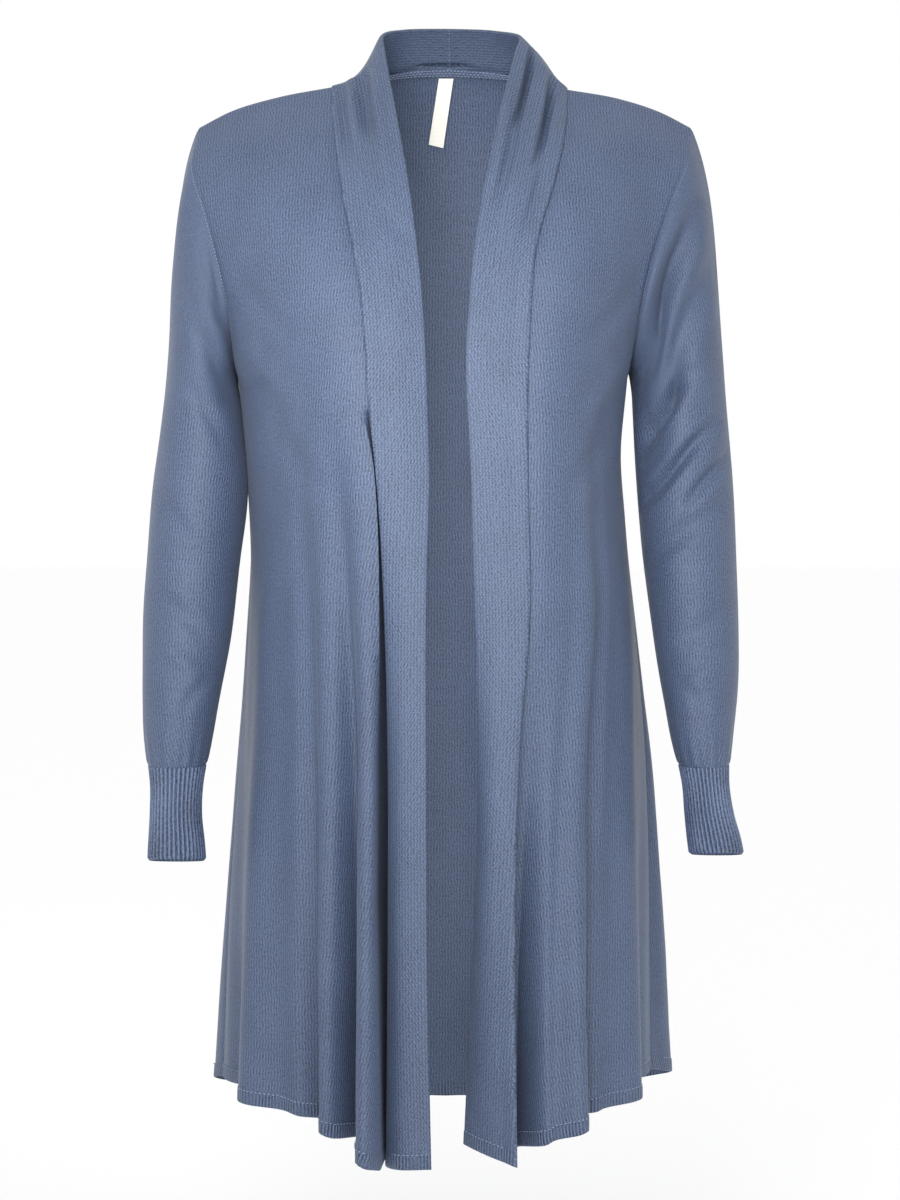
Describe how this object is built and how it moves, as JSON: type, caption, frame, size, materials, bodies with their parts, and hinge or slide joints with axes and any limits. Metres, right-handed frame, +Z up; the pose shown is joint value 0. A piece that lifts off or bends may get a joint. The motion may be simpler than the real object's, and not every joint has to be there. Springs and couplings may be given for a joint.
{
  "type": "open-front cardigan",
  "caption": "Long open-front cardigan in fine rib knit, worn shape, with a shawl collar band, long sleeves and rib cuffs.",
  "frame": {"origin": "middle of the line between the two neck points, where the shoulder seams meet the collar band and the shoulders carry the garment", "axes": "+Z up, -Y to the front, +X to the wearer's left"},
  "size_m": [0.488, 0.3201, 0.915],
  "materials": {
    "rib_knit": "fine viscose rib knit, soft satin",
    "label_tape": "plain woven tape, matte"
  },
  "bodies": {
    "root": {"back": "rib_knit", "front_left": "rib_knit", "front_right": "rib_knit", "sleeve_left": "rib_knit", "sleeve_right": "rib_knit", "cuff_left": "rib_knit", "cuff_right": "rib_knit", "band_left": "rib_knit", "band_right": "rib_knit", "collar_left": "rib_knit", "collar_right": "rib_knit", "neck_tape": "rib_knit", "label": "label_tape"}
  },
  "joints": []
}
